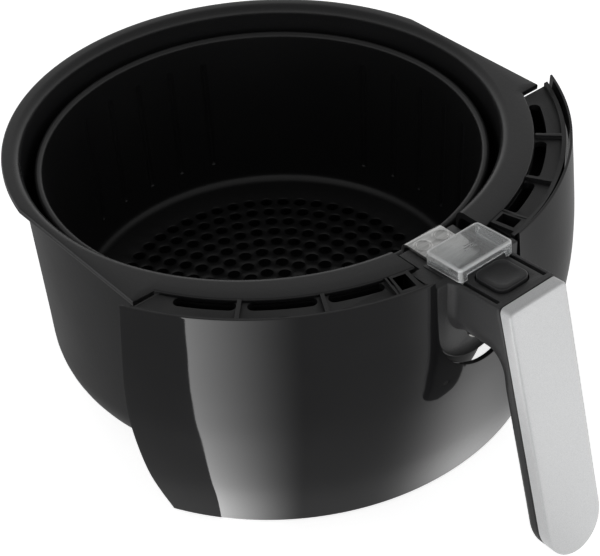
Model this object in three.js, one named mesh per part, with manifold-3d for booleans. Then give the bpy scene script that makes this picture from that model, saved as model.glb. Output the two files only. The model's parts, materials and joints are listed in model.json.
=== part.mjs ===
// Drawer of a basket air fryer: a round pan with a glossy front, a perforated basket that stands in the pan,
// and a handle that is fixed to the basket and latches to the front of the pan.
// Millimetres. The pan stands on z = 0 with its axis on the Z axis. The handle points along -Y.

import * as THREE from 'three';
import { mergeVertices } from 'three/addons/utils/BufferGeometryUtils.js';
import Module from 'manifold-3d';

const wasm = await Module();
wasm.setup();

// ---------------------------------------------------------------- driving dimensions
const GAP = 0.3;                    // between pieces that touch
const SHEET = 1.5;                  // pan and bracket steel
const AROUND = 60;                  // facets of a full turn
const FRONT_AROUND = 84;

const PAN_TOP_R = 112.5;            // outer radius of the pan wall under its rim
const PAN_BASE_R = 110;             // outer radius where the wall meets the base corner
const PAN_CORNER = 31;              // radius of the base corner
const RIM_Z = 126.6;                // top of the flat rim
const RIM_THICK = 3;
const RIM_R = 119.7;                // round back of the rim
const RIM_WING_X = 117.6;           // straight sides of the rim
const RIM_WING_Y = -64.5;           // where the straight sides end
const RIM_FRONT_R = 122.3;          // front edge of the rim, about the front axis
const LIP_R = 4.5;                  // rounding from the pan wall to the rim
const RIM_NOTCH_X = 20;             // half width of the gap in the rim for the handle
const RIM_NOTCH_Z = 114;

const FRONT_Y = -5.6;               // axis of the carrier and the fascia, parallel to Z
const FRONT_END_Y = -66.5;          // both end in this plane
const FASCIA_TOP_Z = 129.6;
const FASCIA_THICK = 2.2;
const FASCIA_PROFILE = [            // radius about the front axis, height
  [128.6, 3.5], [137.1, 32.6], [141.8, 63], [142.4, 85], [140.7, 110.3], [139, FASCIA_TOP_Z],
];

const CARRIER_IN_R = 120;           // inner wall
const CARRIER_OUT_R = 136.3;        // outer wall, just inside the fascia
const CARRIER_WALL = 2;
const CARRIER_LOW_Z = 98;
const SHELF_Z = 125.2;
const SHELF_THICK = 3;
const LEDGE_TOP_Z = 127;
const WEB_TOP_Z = 126.9;
const SLOT_R = 125;                 // middle of the slots in the shelf
const SLOT_HALF = 2.7;
const SLOT_ANGLES = [[18, 26.5], [31, 41.5], [46, 55.5]];
const WEB_ANGLES = [15.8, 28.7, 44.2];
const POCKET_ANGLES = [11.2, 15.8];
const MOUTH_X = 24;                 // half width of the handle's mouth in the fascia and carrier
const ROOT_R = 23;                  // round bottom of the handle's root plate
const ROOT_Z = 103;                 // its centre

const BASKET_R = 102.4;             // inside of the wall at the rim
const BASKET_FOOT_R = 100.8;        // inside of the wall just above the floor
const BASKET_WALL = 1.2;
const BEAD_R = 2;
const BASKET_TOP_Z = 115.5;
const FLOOR_Z = 25.2;               // top of the perforated floor
const FLOOR_CORNER = 5;
const HOLE_PITCH = 8.75;
const HOLE_R = 3.1;
const HOLE_RINGS = 9;

const ARM_X = 16;                   // half width of the arm and grip
const TOP_TILT = 4.1;               // the arm's flat top rises towards the grip, in degrees
const TOP_Z = 126.6;                // its height at the root plate
const ROOT_FACE_Y = -142.8;         // front of the root plate, which fills the fascia's mouth
const ROOT_PLATE = 4;
const ROOT_BLOCK_X = 14;
const ROOT_BACK_Y = -129.8;
const ROOT_LOW_Z = 88;
const TONGUE_X = 15.5;              // tongue that reaches over the pan wall to the bracket
const TONGUE_BACK_Y = -111.8;
const TONGUE_Z = 115;
const SHOULDER_X = 23;
const SHOULDER_Z = 125;
const PLATE_Z = 123.8;              // top of the bracket's plate
const BRACKET_X = 10;
const BRACKET_FRONT_Y = -134.5;
const BRACKET_SCREW = [5.3, -115.5];
const GRIP_TOP_Y = -175.8;          // top of the grip's front face
const GRIP_TOP_Z = 129;
const GRIP_SLOPE = 0.262;           // forward run of the grip for each millimetre down
const GRIP_FOOT_Z = 23.1;           // centre of the grip's round end
const COVER_DEPTH = 6;
const COVER_WALL = 2;
const GRIP_DEPTH = 13.6;

const BUTTON_Y = -155.9;
const BUTTON_HALF = 8.7;
const BUTTON_CORNER = 4.5;
const BUTTON_TOP_Z = 128.4;
const GUIDE_X = 13.2;               // grooves that the guard slides in
const GUARD_X = 15.1;
const GUARD_BACK_Y = -126.9;
const GUARD_FRONT_Y = -148;
const GUARD_TOP_Z = 133.4;
const GUARD_WALL = 1.6;

const PIVOT_Y = -132.5;             // latch lever pivot
const PIVOT_Z = 97;
const LEVER_X = 3.5;
const LEVER_TOP_Z = 115.2;
const PIN_R = 1.5;
const SPRING_Y = -155.6;
const KEEPER_Y = -128;

// ---------------------------------------------------------------- shape helpers
const rad = THREE.MathUtils.degToRad;

// A closed three.js geometry as a manifold solid, with its faces pointing out.
function solidOf(geometry) {
  const bare = geometry.clone();
  bare.deleteAttribute('normal');
  bare.deleteAttribute('uv');
  const merged = mergeVertices(bare, 1e-4);
  const position = merged.getAttribute('position');
  const index = merged.getIndex().array;
  const corner = [0, 1, 2].map(() => new THREE.Vector3());
  const triangles = [];
  let volume = 0;
  for (let i = 0; i < index.length; i += 3) {
    const [a, b, c] = index.subarray(i, i + 3);
    if (a === b || b === c || c === a) {
      continue;
    }
    corner.forEach((point, k) => point.fromBufferAttribute(position, index[i + k]));
    volume += corner[0].dot(corner[1].cross(corner[2]));
    triangles.push([a, b, c]);
  }
  const facing = volume < 0 ? triangles.map(([a, b, c]) => [a, c, b]) : triangles;
  return new wasm.Manifold(new wasm.Mesh({
    numProp: 3,
    vertProperties: new Float32Array(position.array),
    triVerts: new Uint32Array(facing.flat()),
  }));
}

function union(...solids) {
  return solids.reduce((sum, next) => sum.add(next));
}

function cut(solid, ...tools) {
  return tools.reduce((left, tool) => left.subtract(tool), solid);
}

function box(x0, x1, y0, y1, z0, z1) {
  const geometry = new THREE.BoxGeometry(x1 - x0, y1 - y0, z1 - z0);
  return solidOf(geometry.translate((x0 + x1) / 2, (y0 + y1) / 2, (z0 + z1) / 2));
}

// Points [radius, height] turned about a vertical axis at the given y.
function revolve(profile, steps, y = 0) {
  const points = profile.map(([r, z]) => new THREE.Vector2(r, z));
  return solidOf(new THREE.LatheGeometry(points, steps).rotateX(Math.PI / 2).translate(0, y, 0));
}

function ring(r0, r1, z0, z1, steps, y) {
  return revolve([[r0, z0], [r1, z0], [r1, z1], [r0, z1], [r0, z0]], steps, y);
}

function extrude(outline, depth) {
  const shape = new THREE.Shape(outline.map(([x, y]) => new THREE.Vector2(x, y)));
  return new THREE.ExtrudeGeometry(shape, { depth, bevelEnabled: false });
}

// Outlines drawn in plan, from the side (y, z) and from the front (x, z).
function prismZ(outline, z0, z1) {
  return solidOf(extrude(outline, z1 - z0).translate(0, 0, z0));
}

function prismX(outline, x0, x1) {
  const turn = new THREE.Matrix4().makeBasis(
    new THREE.Vector3(0, 1, 0), new THREE.Vector3(0, 0, 1), new THREE.Vector3(1, 0, 0));
  return solidOf(extrude(outline, x1 - x0).applyMatrix4(turn).translate(x0, 0, 0));
}

function prismY(outline, y0, y1) {
  return solidOf(extrude(outline, y1 - y0).rotateX(Math.PI / 2).translate(0, y1, 0));
}

// Arc points from angle a0 to a1 in degrees.
function arc(x, y, r, a0, a1, steps) {
  return Array.from({ length: steps + 1 }, (_, i) => {
    const a = rad(a0 + (a1 - a0) * i / steps);
    return [x + r * Math.cos(a), y + r * Math.sin(a)];
  });
}

function roundedRect(x, y, halfX, halfY, r, steps = 4) {
  return [
    ...arc(x + halfX - r, y - halfY + r, r, -90, 0, steps),
    ...arc(x + halfX - r, y + halfY - r, r, 0, 90, steps),
    ...arc(x - halfX + r, y + halfY - r, r, 90, 180, steps),
    ...arc(x - halfX + r, y - halfY + r, r, 180, 270, steps),
  ];
}

// A tall U seen from the front: straight sides, round end at the bottom.
function uOutline(half, centreZ, topZ, steps = 12) {
  return [[half, topZ], [-half, topZ], ...arc(0, centreZ, half, 180, 360, steps)];
}

// A cylinder from one point to another.
function rod(from, to, r, steps = 12) {
  const start = new THREE.Vector3(...from);
  const end = new THREE.Vector3(...to);
  const axis = end.clone().sub(start);
  const up = new THREE.Vector3(0, 1, 0);
  const turn = new THREE.Quaternion().setFromUnitVectors(up, axis.clone().normalize());
  const geometry = new THREE.CylinderGeometry(r, r, axis.length(), steps).applyQuaternion(turn);
  return solidOf(geometry.translate(...start.add(end).multiplyScalar(0.5).toArray()));
}

// A screw: head at `seat`, shank running `length` along `direction`.
const SCREW_HEAD_R = 2.6;
const SCREW_HEAD = 1.8;
const SCREW_R = 1.3;
const SCREW_HOLE_R = SCREW_R + GAP;

function screw(seat, direction, length) {
  const start = new THREE.Vector3(...seat);
  const along = new THREE.Vector3(...direction).normalize();
  const at = (distance) => start.clone().addScaledVector(along, distance).toArray();
  return union(rod(at(-SCREW_HEAD), at(0), SCREW_HEAD_R), rod(at(-SCREW_HEAD / 2), at(length), SCREW_R, 8));
}

// A point on a circle about the front axis, at an angle from straight ahead.
function frontPoint(r, angle) {
  return [r * Math.sin(rad(angle)), FRONT_Y - r * Math.cos(rad(angle))];
}

function frontArc(r, a0, a1, steps) {
  return Array.from({ length: steps + 1 }, (_, i) => frontPoint(r, a0 + (a1 - a0) * i / steps));
}

// ---------------------------------------------------------------- assembly list
const drawer = new THREE.Group();

const COLOURS = {
  coating: [0x17181a, 0.45, 0.3],
  gloss: [0x08080a, 0.06, 0.0],
  matte: [0x1a1a1c, 0.6, 0.0],
  steel: [0xc9cacb, 0.3, 1.0],
  silver: [0xb9bcbf, 0.35, 0.6],
  clear: [0xe6eaec, 0.1, 0.0],
};

function add(name, solid, look) {
  const mesh = solid.getMesh();
  const geometry = new THREE.BufferGeometry();
  geometry.setAttribute('position', new THREE.BufferAttribute(mesh.vertProperties, 3));
  geometry.setIndex(new THREE.BufferAttribute(mesh.triVerts, 1));
  geometry.computeVertexNormals();
  const [color, roughness, metalness] = COLOURS[look];
  const piece = new THREE.Mesh(geometry, new THREE.MeshStandardMaterial({ color, roughness, metalness }));
  piece.name = name;
  drawer.add(piece);
}

// ---------------------------------------------------------------- pan
const SCREW_ANGLES = { left_outer: -50, left_inner: -25, right_inner: 25, right_outer: 50 };
const CARRIER_SCREW_Z = 107;

function radial(angle, r, z) {
  return [r * Math.sin(rad(angle)), -r * Math.cos(rad(angle)), z];
}

// Distance from the pan axis to a circle about the front axis, in a direction from straight ahead.
function reach(angle, r) {
  const forward = -FRONT_Y * Math.cos(rad(angle));
  return forward + Math.sqrt(r * r - (FRONT_Y * Math.sin(rad(angle))) ** 2);
}

function makePan() {
  const inner = PAN_CORNER - SHEET;
  const cornerR = PAN_BASE_R - PAN_CORNER;
  const lipZ = RIM_Z - LIP_R;
  const shell = revolve([
    [0, 0],
    ...arc(cornerR, PAN_CORNER, PAN_CORNER, -90, 0, 4),
    [PAN_TOP_R, RIM_Z - 8],
    [PAN_TOP_R + LIP_R, RIM_Z - RIM_THICK],
    [PAN_TOP_R + LIP_R, RIM_Z],
    ...arc(PAN_TOP_R - SHEET + LIP_R, lipZ, LIP_R, 90, 180, 3),
    ...arc(cornerR, PAN_CORNER, inner, 0, -90, 4),
    [0, SHEET],
  ], AROUND);
  const frontEdge = Math.acos((-RIM_WING_Y + FRONT_Y) / RIM_FRONT_R) * 180 / Math.PI;
  const plan = [
    ...arc(0, 0, RIM_R, 10.8, 169.2, 24),
    [-RIM_WING_X, 0],
    [-RIM_WING_X, RIM_WING_Y],
    ...frontArc(RIM_FRONT_R, -frontEdge, frontEdge, 20),
    [RIM_WING_X, RIM_WING_Y],
    [RIM_WING_X, 0],
  ];
  const hole = ring(0, PAN_TOP_R + 2, RIM_Z - 20, RIM_Z + 10, AROUND, 0);
  const rim = cut(prismZ(plan, RIM_Z - RIM_THICK, RIM_Z), hole);
  const bosses = Object.values(SCREW_ANGLES).map((angle) => rod(
    radial(angle, PAN_TOP_R - SHEET / 2, CARRIER_SCREW_Z),
    radial(angle, reach(angle, CARRIER_IN_R) - GAP, CARRIER_SCREW_Z), 4.5));
  const holes = Object.values(SCREW_ANGLES).map((angle) => rod(
    radial(angle, PAN_TOP_R + SHEET, CARRIER_SCREW_Z),
    radial(angle, CARRIER_OUT_R, CARRIER_SCREW_Z), SCREW_HOLE_R, 8));
  const notch = box(-RIM_NOTCH_X, RIM_NOTCH_X, -RIM_FRONT_R - 20, -80, RIM_NOTCH_Z, RIM_Z + 10);
  return cut(union(shell, rim, ...bosses), ...holes, notch);
}
add('pan_shell', makePan(), 'coating');

// ---------------------------------------------------------------- fascia
const mouth = prismY(uOutline(MOUTH_X, ROOT_Z, 200), -200, -126);
const frontHalf = box(-200, 200, -200, FRONT_END_Y, -10, 200);

function makeFascia() {
  const curve = new THREE.SplineCurve(FASCIA_PROFILE.map(([r, z]) => new THREE.Vector2(r, z)));
  const outer = curve.getPoints(8).map((point) => [point.x, point.y]);
  const inner = outer.map(([r, z]) => [r - FASCIA_THICK, z]).reverse();
  const skin = revolve([...outer, ...inner, outer[0]], FRONT_AROUND, FRONT_Y);
  return cut(skin.intersect(frontHalf), mouth);
}
add('front_fascia', makeFascia(), 'gloss');

// ---------------------------------------------------------------- carrier behind the fascia
const KEEPER_SCREW = [18, 106];

function sector(r0, r1, a0, a1, z0, z1, steps) {
  return prismZ([...frontArc(r0, a0, a1, steps), ...frontArc(r1, a1, a0, steps)], z0, z1);
}

function slot(a0, a1) {
  const low = SHELF_Z - 10;
  const high = SHELF_Z + 10;
  const middle = sector(SLOT_R - SLOT_HALF, SLOT_R + SLOT_HALF, a0, a1, low, high, 6);
  const ends = [a0, a1].map((a) => frontPoint(SLOT_R, a))
    .map(([x, y]) => rod([x, y, low], [x, y, high], SLOT_HALF));
  return union(middle, ...ends);
}

function bothSides([a0, a1]) {
  return [[a0, a1], [-a1, -a0]];
}

function keeperHoles() {
  const [x, z] = KEEPER_SCREW;
  return [-x, x].map((side) => rod([side, KEEPER_Y - 5, z], [side, KEEPER_Y + 6, z], SCREW_HOLE_R, 8));
}

function makeCarrier() {
  const inR = CARRIER_IN_R + CARRIER_WALL;
  const outR = CARRIER_OUT_R - CARRIER_WALL;
  const wallTopZ = RIM_Z - RIM_THICK - GAP;
  const frame = union(
    ring(CARRIER_IN_R, inR, CARRIER_LOW_Z, wallTopZ, FRONT_AROUND, FRONT_Y),
    ring(outR, CARRIER_OUT_R, CARRIER_LOW_Z, LEDGE_TOP_Z, FRONT_AROUND, FRONT_Y),
    ring(CARRIER_IN_R, CARRIER_OUT_R, SHELF_Z - SHELF_THICK, SHELF_Z, FRONT_AROUND, FRONT_Y),
    ring(CARRIER_IN_R, CARRIER_OUT_R, CARRIER_LOW_Z, CARRIER_LOW_Z + CARRIER_WALL, FRONT_AROUND, FRONT_Y),
  ).intersect(frontHalf);
  const endWalls = ring(CARRIER_IN_R, CARRIER_OUT_R, CARRIER_LOW_Z, wallTopZ, FRONT_AROUND, FRONT_Y)
    .intersect(box(-200, 200, FRONT_END_Y - CARRIER_WALL, FRONT_END_Y, 0, 200));
  const webs = WEB_ANGLES.flatMap((angle) => [angle, -angle]).map((angle) => sector(
    inR - 0.5, outR + 0.5, angle - 0.4, angle + 0.4, SHELF_Z - 5, WEB_TOP_Z, 1));
  const pocketWalls = bothSides(POCKET_ANGLES).map(([a0, a1]) => sector(
    inR - 0.5, outR + 0.5, a0, a1, SHELF_Z - 11, WEB_TOP_Z, 2));
  const pockets = bothSides(POCKET_ANGLES).map(([a0, a1]) => sector(
    inR + 2, outR - 1.5, a0 + 0.9, a1 - 0.9, SHELF_Z - 12, SHELF_Z + 10, 2));
  const pad = box(-22, 22, KEEPER_Y + GAP, KEEPER_Y + 4, CARRIER_LOW_Z, RIM_NOTCH_Z);
  const slots = SLOT_ANGLES.flatMap(bothSides).map(([a0, a1]) => slot(a0, a1));
  const bay = box(-MOUTH_X, MOUTH_X, -200, KEEPER_Y + GAP, 0, 200);
  const bayTop = box(-MOUTH_X, MOUTH_X, -200, -110, RIM_NOTCH_Z, 200);
  const underRim = ring(0, RIM_FRONT_R + GAP, wallTopZ, 200, FRONT_AROUND, FRONT_Y);
  const holes = Object.values(SCREW_ANGLES).map((angle) => rod(
    radial(angle, PAN_TOP_R, CARRIER_SCREW_Z),
    radial(angle, reach(angle, inR) + 2, CARRIER_SCREW_Z), SCREW_HOLE_R, 8));
  const solid = union(frame, endWalls, ...webs, ...pocketWalls, pad);
  return cut(solid, ...pockets, ...slots, bay, bayTop, underRim, ...holes, ...keeperHoles());
}
add('front_carrier', makeCarrier(), 'matte');

for (const [side, angle] of Object.entries(SCREW_ANGLES)) {
  const seat = reach(angle, CARRIER_IN_R + CARRIER_WALL) + GAP;
  add(`carrier_screw_${side}`, screw(radial(angle, seat, CARRIER_SCREW_Z), radial(angle, -1, 0), 8), 'steel');
}

// ---------------------------------------------------------------- latch keeper on the carrier
const KEEPER_SHEET = 1.2;

function makeKeeper() {
  const plate = box(-22, 22, KEEPER_Y - KEEPER_SHEET, KEEPER_Y, CARRIER_LOW_Z + 1, RIM_NOTCH_Z - GAP);
  const window = box(-6, 6, KEEPER_Y - 5, KEEPER_Y + 5, 104, 111.6);
  return cut(plate, window, ...keeperHoles());
}
add('latch_keeper', makeKeeper(), 'steel');

for (const [side, sign] of [['left', -1], ['right', 1]]) {
  const seat = [sign * KEEPER_SCREW[0], KEEPER_Y - KEEPER_SHEET - GAP, KEEPER_SCREW[1]];
  add(`keeper_screw_${side}`, screw(seat, [0, 1, 0], 5), 'steel');
}

// ---------------------------------------------------------------- basket
function makeBasket() {
  const beadZ = BASKET_TOP_Z - BEAD_R;
  const cornerR = BASKET_FOOT_R - FLOOR_CORNER;
  const cornerZ = FLOOR_Z + FLOOR_CORNER;
  const bowl = revolve([
    [0, FLOOR_Z - BASKET_WALL],
    ...arc(cornerR, cornerZ, FLOOR_CORNER + BASKET_WALL, -90, 0, 2),
    [BASKET_R + BASKET_WALL, beadZ - BEAD_R],
    ...arc(BASKET_R + BEAD_R, beadZ, BEAD_R, -60, 180, 5),
    ...arc(cornerR, cornerZ, FLOOR_CORNER, 0, -90, 2),
    [0, FLOOR_Z],
  ], AROUND);
  const holes = [];
  for (let i = 0; i <= HOLE_RINGS; i += 1) {
    const count = Math.max(1, 6 * i);
    for (let k = 0; k < count; k += 1) {
      const a = 2 * Math.PI * k / count;
      const [x, y] = [i * HOLE_PITCH * Math.cos(a), i * HOLE_PITCH * Math.sin(a)];
      holes.push(rod([x, y, FLOOR_Z - 3], [x, y, FLOOR_Z + 3], HOLE_R, 4));
    }
  }
  return cut(bowl, ...holes);
}
add('basket_bowl', makeBasket(), 'coating');

// ---------------------------------------------------------------- bracket from the basket to the handle
function bracketHoles(z0, z1, r) {
  const [x, y] = BRACKET_SCREW;
  return [-x, x].map((side) => rod([side, y, z0], [side, y, z1], r, 8));
}

function makeBracket() {
  const legY = -(BASKET_R + 2 * BEAD_R + 0.8);
  const wallY = -(BASKET_R + BASKET_WALL + GAP);
  const bend = 4;
  const bendY = legY - bend;
  const bendZ = PLATE_Z - bend;
  const outline = [
    [wallY, 76], [wallY, 101], [legY, 107], ...arc(bendY, bendZ, bend, 0, 90, 5),
    [BRACKET_FRONT_Y, PLATE_Z], [BRACKET_FRONT_Y, PLATE_Z - SHEET],
    ...arc(bendY, bendZ, bend - SHEET, 90, 0, 5),
    [legY - SHEET, 107.6], [wallY - SHEET, 101.6], [wallY - SHEET, 76],
  ];
  return cut(prismX(outline, -BRACKET_X, BRACKET_X), ...bracketHoles(110, 130, SCREW_HOLE_R));
}
add('handle_bracket', makeBracket(), 'steel');

for (const [side, sign] of [['left', -1], ['right', 1]]) {
  const seat = [sign * BRACKET_SCREW[0], BRACKET_SCREW[1], TONGUE_Z + SCREW_HEAD + GAP];
  add(`bracket_screw_${side}`, screw(seat, [0, 0, 1], PLATE_Z - seat[2] - GAP), 'steel');
}

// ---------------------------------------------------------------- handle body
// The arm's top and all that sits on it are drawn level and then tilted about the root plate's top edge.
function tilt(solid) {
  return solid.translate(0, -ROOT_FACE_Y, -TOP_Z).rotate([-TOP_TILT, 0, 0]).translate(0, ROOT_FACE_Y, TOP_Z);
}

function gripY(z, depth) {
  return GRIP_TOP_Y - GRIP_SLOPE * (GRIP_TOP_Z - z) + depth;
}

// A slab of the grip, between two depths behind its front face.
function gripSlab(front, back, z0, z1, halfX) {
  const side = [[gripY(z0, front), z0], [gripY(z0, back), z0], [gripY(z1, back), z1], [gripY(z1, front), z1]];
  return prismX(side, -halfX, halfX);
}

const ARM_ROUND_Z = 112;            // centre of the arm's round underside
const ARM_LOW_Z = ARM_ROUND_Z - ARM_X;
const ARM_BACK_Y = ROOT_FACE_Y + 1;
const GRIP_SEAM = COVER_DEPTH + GAP;
const BAY_WALL = 4;
const BAY_BACK_Y = -144.3;
const BAY_FRONT_Y = -166.3;
const BAY_TOP_Z = 123.2;
const SPLIT_Z = 101;                // the bottom cover is below this
const SPLIT_BACK_Y = ROOT_FACE_Y - GAP;
const SPLIT_FRONT_Y = -162;
const COVER_SCREW = [8, -148.5];
const GRIP_SCREWS = { upper: 74, lower: 34 };

const armSection = prismY(uOutline(ARM_X, ARM_ROUND_Z, 150, 16), -200, ARM_BACK_Y);
const gripSection = prismY(uOutline(ARM_X, GRIP_FOOT_Z, 150, 16), -260, -140);
const aboveTop = tilt(box(-60, 60, -260, -100, TOP_Z, TOP_Z + 40));
const coverRegion = box(-60, 60, SPLIT_FRONT_Y, SPLIT_BACK_Y, ARM_LOW_Z - 5, SPLIT_Z);

function coverHoles(z0, z1, r) {
  const [x, y] = COVER_SCREW;
  return [-x, x].map((side) => rod([side, y, z0], [side, y, z1], r, 8));
}

function gripHoles(front, back, r) {
  return Object.values(GRIP_SCREWS).map((z) => rod([0, gripY(z, front), z], [0, gripY(z, back), z], r, 10));
}

function makeHandle() {
  const arm = gripSlab(GRIP_SEAM, 60, ARM_LOW_Z - 1, 150, 30).intersect(armSection);
  const grip = gripSlab(GRIP_SEAM, GRIP_DEPTH, 0, 140, 30).intersect(gripSection);
  const fillet = prismX([
    [-163, ARM_LOW_Z + 1], ...arc(-163, 84.5, 11.5, 90, 180, 5), [-176, 84.5], [-176, ARM_LOW_Z + 1],
  ], -ARM_X + 3, ARM_X - 3);
  const plate = prismY(uOutline(ROOT_R, ROOT_Z, TOP_Z, 16), ROOT_FACE_Y, ROOT_FACE_Y + ROOT_PLATE);
  const block = box(-ROOT_BLOCK_X, ROOT_BLOCK_X, ROOT_FACE_Y + 1, ROOT_BACK_Y, ROOT_LOW_Z, TOP_Z);
  const shoulders = box(-SHOULDER_X, SHOULDER_X, ROOT_FACE_Y + 1, -127, SHOULDER_Z - 3.2, SHOULDER_Z);
  const cheeks = box(-ARM_X, ARM_X, ROOT_FACE_Y - 1, -127, TONGUE_Z, TOP_Z);
  const tongue = box(-TONGUE_X, TONGUE_X, -130, TONGUE_BACK_Y, TONGUE_Z, PLATE_Z - SHEET - GAP);
  const body = union(arm, grip, fillet, plate, block, shoulders, cheeks, tongue);

  const recess = box(-BRACKET_X - 0.8, BRACKET_X + 0.8, -140.5, -100, PLATE_Z - SHEET - GAP, 150);
  const bayOutline = uOutline(ARM_X - BAY_WALL, ARM_ROUND_Z, 150, 12);
  const aboveBay = tilt(box(-60, 60, -260, -100, BAY_TOP_Z, TOP_Z + 60));
  const bosses = coverHoles(SPLIT_Z + GAP, 115, 3.1);
  const bay = cut(prismY(bayOutline, BAY_FRONT_Y, BAY_BACK_Y), aboveBay, ...bosses);
  const leverSlot = box(-LEVER_X - 0.6, LEVER_X + 0.6, BAY_BACK_Y - 1, ROOT_BACK_Y + 5, PIVOT_Z - 5.5, 113.5);
  const pinHole = rod([-10.3, PIVOT_Y, PIVOT_Z], [30, PIVOT_Y, PIVOT_Z], PIN_R + GAP);
  const buttonHole = tilt(prismZ(
    roundedRect(0, BUTTON_Y, BUTTON_HALF + GAP, BUTTON_HALF + GAP, BUTTON_CORNER), BAY_TOP_Z - 4, TOP_Z + 5));
  const grooves = [-GUIDE_X, GUIDE_X].map((x) => tilt(box(x - 1, x + 1, -167, -120, TOP_Z - 1.8, TOP_Z + 5)));
  return cut(body, aboveTop, recess, bay, leverSlot, pinHole, buttonHole, ...grooves, coverRegion,
    ...coverHoles(SPLIT_Z - 1, 112, SCREW_HOLE_R), ...bracketHoles(110, 130, SCREW_HOLE_R),
    ...bracketHoles(TONGUE_Z - 1, TONGUE_Z + SCREW_HEAD + GAP, SCREW_HEAD_R + GAP),
    ...gripHoles(0, 30, SCREW_HOLE_R), ...gripHoles(GRIP_DEPTH - 2.4, 30, SCREW_HEAD_R + GAP));
}

function makeBottomCover() {
  const outer = prismY(uOutline(ARM_X, ARM_ROUND_Z, 150, 16), SPLIT_FRONT_Y + GAP, SPLIT_BACK_Y);
  const shell = outer.intersect(box(-60, 60, -200, -100, 0, SPLIT_Z - GAP));
  const inside = prismY(uOutline(ARM_X - 2.4, ARM_ROUND_Z, 150, 16), SPLIT_FRONT_Y + 2, SPLIT_BACK_Y - 2);
  const screwHoles = coverHoles(90, 110, SCREW_HOLE_R);
  const headHoles = coverHoles(90, 99.4, SCREW_HEAD_R + GAP);
  return cut(shell, inside, ...screwHoles, ...headHoles);
}

add('handle_body', makeHandle(), 'matte');
add('arm_bottom_cover', makeBottomCover(), 'matte');

for (const [side, sign] of [['left', -1], ['right', 1]]) {
  add(`cover_screw_${side}`, screw([sign * COVER_SCREW[0], COVER_SCREW[1], 99.1], [0, 0, 1], 9), 'steel');
}

// ---------------------------------------------------------------- silver front of the grip
function makeFrontCover() {
  const skin = gripSlab(0, COVER_DEPTH, 0, 140, 30).intersect(gripSection);
  const insideOutline = uOutline(ARM_X - COVER_WALL, GRIP_FOOT_Z, 150, 16);
  const belowLid = tilt(box(-60, 60, -260, -100, -200, TOP_Z - COVER_WALL));
  const inside = gripSlab(COVER_WALL, COVER_DEPTH + 5, 0, 140, 30)
    .intersect(prismY(insideOutline, -260, -140)).intersect(belowLid);
  const posts = gripHoles(COVER_WALL - 0.5, COVER_DEPTH - 1.2, 4);
  const screwHoles = gripHoles(COVER_WALL + 0.8, COVER_DEPTH + 5, SCREW_HOLE_R);
  return cut(union(cut(skin, aboveTop, inside), ...posts), ...screwHoles);
}
add('handle_front_cover', makeFrontCover(), 'silver');

for (const [place, z] of Object.entries(GRIP_SCREWS)) {
  const seat = [0, gripY(z, GRIP_DEPTH - 2.4) + GAP, z];
  add(`grip_screw_${place}`, screw(seat, [0, -1, 0], 7.6), 'steel');
}

// ---------------------------------------------------------------- release button
function makeButton() {
  const cap = prismZ(roundedRect(0, BUTTON_Y, BUTTON_HALF, BUTTON_HALF, BUTTON_CORNER), 121, BUTTON_TOP_Z);
  const flangeHalf = BUTTON_HALF + 0.9;    // holds the button in its hole
  const flange = prismZ(roundedRect(0, BUTTON_Y, flangeHalf, flangeHalf, BUTTON_CORNER), 120.6, 122.4);
  const stem = box(-3, 3, BUTTON_Y - 3.5, BUTTON_Y, LEVER_TOP_Z - 0.2, 122);
  return tilt(union(cap, flange, stem));
}

add('release_button', makeButton(), 'matte');

// ---------------------------------------------------------------- latch lever, its pin and the return spring
function makeLever() {
  const arm = prismX([
    [-135.8, 95.4], [-151, 112.2], [-160, 112.2], [-160, LEVER_TOP_Z], [-150, LEVER_TOP_Z], [-135.5, 102.5],
    [-135.5, 112.6], [-132.2, 112.6], [-129.6, 110.8], [-129.6, 108.6], [-132, 108.2], [-131.6, 99],
  ], -LEVER_X, LEVER_X);
  const boss = rod([-LEVER_X, PIVOT_Y, PIVOT_Z], [LEVER_X, PIVOT_Y, PIVOT_Z], PIN_R + 1.5, 16);
  const hole = rod([-20, PIVOT_Y, PIVOT_Z], [20, PIVOT_Y, PIVOT_Z], PIN_R + GAP);
  return cut(union(arm, boss), hole);
}
add('latch_lever', makeLever(), 'matte');
add('latch_pin', rod([-10, PIVOT_Y, PIVOT_Z], [ROOT_BLOCK_X - 1, PIVOT_Y, PIVOT_Z], PIN_R), 'steel');

const SPRING_TURNS = 5;
const SPRING_R = 3.2;
const SPRING_WIRE = 0.45;
const SPRING_LOW_Z = 99.8;
const SPRING_HIGH_Z = 111.2;

class Helix extends THREE.Curve {
  getPoint(t) {
    const a = 2 * Math.PI * SPRING_TURNS * t;
    const z = THREE.MathUtils.lerp(SPRING_LOW_Z, SPRING_HIGH_Z, t);
    return new THREE.Vector3(SPRING_R * Math.cos(a), SPRING_Y + SPRING_R * Math.sin(a), z);
  }
}

function makeSpring() {
  const section = new THREE.Shape(arc(0, 0, SPRING_WIRE, 0, 300, 5).map(([x, y]) => new THREE.Vector2(x, y)));
  return solidOf(new THREE.ExtrudeGeometry(section, { steps: SPRING_TURNS * 12, extrudePath: new Helix() }));
}
add('button_spring', makeSpring(), 'steel');

// ---------------------------------------------------------------- clear guard over the button
function makeGuard() {
  const middleY = (GUARD_BACK_Y + GUARD_FRONT_Y) / 2;
  const halfY = (GUARD_BACK_Y - GUARD_FRONT_Y) / 2;
  const outline = roundedRect(0, middleY, GUARD_X, halfY, 1.8, 3);
  const blockTop = prismZ(outline, TOP_Z + GAP, GUARD_TOP_Z);
  const inside = box(-GUARD_X + GUARD_WALL, GUARD_X - GUARD_WALL, -200, -100, 0, GUARD_TOP_Z - GUARD_WALL);
  const feet = [-GUIDE_X, GUIDE_X].map((x) => box(
    x - 0.7, x + 0.7, GUARD_FRONT_Y + 1.5, GUARD_BACK_Y - 1.5, TOP_Z - 1.5, TOP_Z + 2));
  return tilt(union(cut(blockTop, inside), ...feet));
}
add('button_guard', makeGuard(), 'clear');

export default drawer;
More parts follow.
